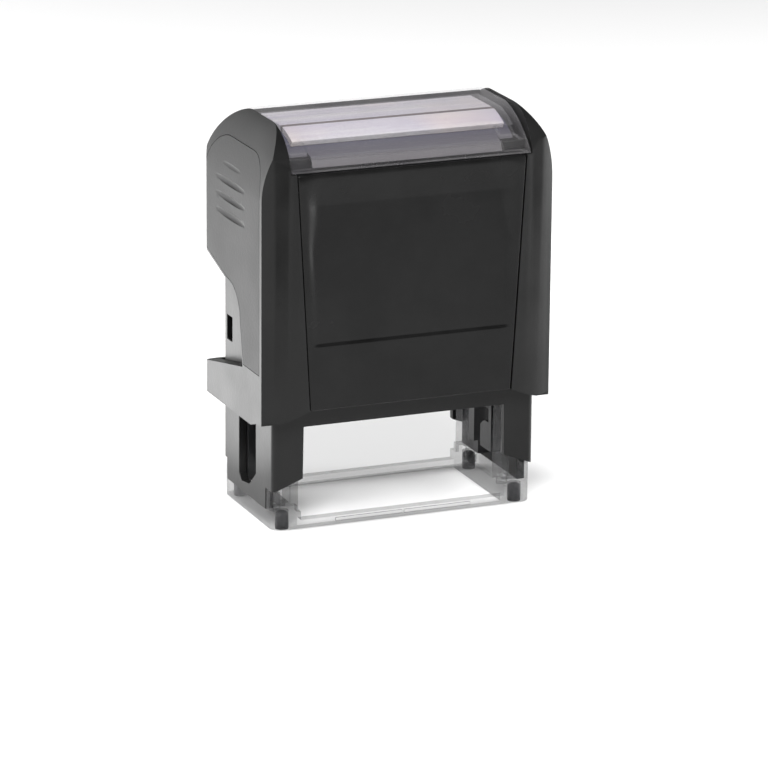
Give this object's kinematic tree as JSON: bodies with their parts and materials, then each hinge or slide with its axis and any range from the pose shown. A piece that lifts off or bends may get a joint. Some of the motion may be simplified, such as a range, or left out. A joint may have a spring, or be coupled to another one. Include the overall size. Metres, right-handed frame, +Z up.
{
  "type": "self-inking text stamp",
  "caption": "Self-inking flip-over hand stamp: a black cap slides down over the housing and turns the text plate over onto the paper.",
  "frame": {"origin": "on the table plane under the middle of the foot", "axes": "+Z up, -Y towards the front panel, +X to the right seen from the front"},
  "size_m": [0.0586, 0.0332, 0.0777],
  "materials": {
    "clear_plastic": "clear polished plastic",
    "black_gloss": "satin gloss moulded",
    "grip_plastic": "fine matte texture",
    "inner_plastic": "moulded",
    "tray_plastic": "moulded",
    "card": "plain card",
    "rubber": "plain",
    "steel": "drawn",
    "pad_felt": "inked felt",
    "foam": "closed-cell foam",
    "plate_rubber": "engraved rubber"
  },
  "bodies": {
    "stamp_body": {"clear_base": "clear_plastic", "rubber_feet": "rubber", "housing": "black_gloss", "cam_plate_left": "inner_plastic", "cam_plate_right": "inner_plastic", "spring_post": "inner_plastic", "return_spring": "steel"},
    "cap": {"cap_frame": "black_gloss", "front_panel": "black_gloss", "rear_panel": "black_gloss", "left_grip": "grip_plastic", "right_grip": "grip_plastic", "card_tray": "tray_plastic", "index_card": "card", "spring_cup": "inner_plastic"},
    "window": {"index_window": "clear_plastic"},
    "cartridge": {"cartridge_tray": "inner_plastic", "cartridge_flange": "inner_plastic", "ink_pad": "pad_felt", "pad_frame": "inner_plastic", "cartridge_grip": "grip_plastic"},
    "carrier": {"carrier_block": "inner_plastic", "axle_pins": "steel", "flip_pegs": "inner_plastic", "foam_cushion": "foam", "text_plate": "plate_rubber"}
  },
  "joints": [
    {"name": "cap_press", "type": "slide", "parent": "stamp_body", "child": "cap", "axis": [0, 0, -1], "range_m": [0, 0.0126], "stiffness_N_per_m": 800, "springref_m": -0.005, "deforming": ["return_spring"]},
    {"name": "carrier_flip", "type": "hinge", "parent": "cap", "child": "carrier", "pos_m": [0, 0, 0.0219], "axis": [-1, 0, 0], "range_deg": [0, 180]},
    {"name": "cartridge_slide", "type": "slide", "parent": "stamp_body", "child": "cartridge", "axis": [0, 1, 0], "range_m": [0, 0.02]},
    {"name": "window_lift", "type": "slide", "parent": "cap", "child": "window", "axis": [0, 0, 1], "range_m": [0, 0.006]}
  ],
  "couplings": [
    {"joint": "carrier_flip", "follows": "cap_press", "rad_per_m": 249.32}
  ]
}
